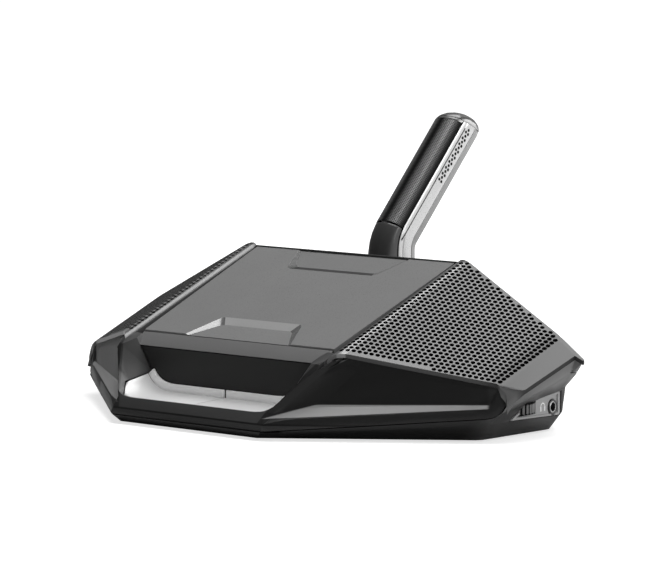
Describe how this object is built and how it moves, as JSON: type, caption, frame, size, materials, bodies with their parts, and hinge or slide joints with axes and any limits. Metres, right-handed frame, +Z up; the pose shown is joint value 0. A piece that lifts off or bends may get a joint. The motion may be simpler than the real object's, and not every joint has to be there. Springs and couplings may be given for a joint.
{
  "type": "conference delegate unit",
  "caption": "Low table-top conference talk unit with sloped centre plate, side loudspeaker grilles, front talk keys, end pockets with volume wheel and headphone jack, and a plug-in microphone.",
  "frame": {"origin": "centre of the footprint of the box round the unit, on the plane the feet rest on", "axes": "+X to the right of the person who uses it, +Y away from that person, +Z up"},
  "size_m": [0.2564, 0.1734, 0.1221],
  "materials": {
    "housing": "fine satin texture",
    "frame": "fine satin texture",
    "plate": "fine satin texture",
    "inner_black": "matt",
    "board": "solder mask",
    "contact_metal": "plated",
    "grille": "satin paint",
    "cloth": "fine weave",
    "light": "diffusing",
    "key": "silver lacquer",
    "pocket": "satin",
    "jack_metal": "plated",
    "wheel_rubber": "soft touch",
    "speaker_black": "satin",
    "cone": "pressed paper",
    "magnet": "plain",
    "foot_rubber": "matt",
    "screw_steel": "blackened",
    "mic_black": "satin",
    "mic_silver": "silver satin",
    "mesh_black": "fine woven mesh",
    "mic_grey": "satin",
    "mic_gloss": "polished"
  },
  "bodies": {
    "unit": {"acoustic_cloth_left": "cloth", "acoustic_cloth_right": "cloth", "base_housing": "housing", "button_switch_left": "contact_metal", "button_switch_right": "contact_metal", "control_panel_left": "pocket", "control_panel_right": "pocket", "front_frame": "frame", "front_lip": "plate", "grille_left": "grille", "grille_right": "grille", "headphone_jack_left": "jack_metal", "headphone_jack_right": "jack_metal", "housing_screw_front_left": "screw_steel", "housing_screw_front_right": "screw_steel", "housing_screw_rear_left": "screw_steel", "housing_screw_rear_right": "screw_steel", "light_bar_left": "light", "light_bar_right": "light", "main_board": "board", "mic_socket": "inner_black", "mouth_back_panel": "inner_black", "network_socket_left": "inner_black", "network_socket_right": "inner_black", "rear_cover": "housing", "rubber_foot_front_left": "foot_rubber", "rubber_foot_front_right": "foot_rubber", "rubber_foot_rear_left": "foot_rubber", "rubber_foot_rear_right": "foot_rubber", "socket_contacts": "contact_metal", "speaker_cone_left": "cone", "speaker_cone_right": "cone", "speaker_frame_left": "speaker_black", "speaker_frame_right": "speaker_black", "speaker_magnet_left": "magnet", "speaker_magnet_right": "magnet", "top_plate": "plate", "upper_chassis": "inner_black", "volume_potentiometer_left": "contact_metal", "volume_potentiometer_right": "contact_metal"},
    "talk_button_left": {"talk_button_left": "key"},
    "talk_button_right": {"talk_button_right": "key"},
    "volume_wheel_left": {"volume_wheel_left": "wheel_rubber"},
    "volume_wheel_right": {"volume_wheel_right": "wheel_rubber"},
    "microphone": {"mic_board": "board", "mic_capsule_lower": "magnet", "mic_capsule_upper": "magnet", "mic_end_cap": "mic_gloss", "mic_frame": "mic_silver", "mic_mesh": "mesh_black", "mic_neck": "mic_black", "mic_plug": "contact_metal", "mic_rear_shell": "mic_grey"}
  },
  "joints": [
    {"name": "key_press_left", "type": "slide", "parent": "unit", "child": "talk_button_left", "axis": [0, 0, -1], "range_m": [0, 0.0007], "stiffness_N_per_m": 600},
    {"name": "key_press_right", "type": "slide", "parent": "unit", "child": "talk_button_right", "axis": [0, 0, -1], "range_m": [0, 0.0007], "stiffness_N_per_m": 600},
    {"name": "volume_turn_left", "type": "hinge", "parent": "unit", "child": "volume_wheel_left", "pos_m": [-0.10009, -0.00364, 0.011], "axis": [0, 0, 1], "range_deg": [-135, 135]},
    {"name": "volume_turn_right", "type": "hinge", "parent": "unit", "child": "volume_wheel_right", "pos_m": [0.10009, -0.00364, 0.011], "axis": [0, 0, 1], "range_deg": [-135, 135]},
    {"name": "microphone_unplug", "type": "slide", "parent": "unit", "child": "microphone", "axis": [0, 0, 1], "range_m": [0, 0.018]}
  ]
}
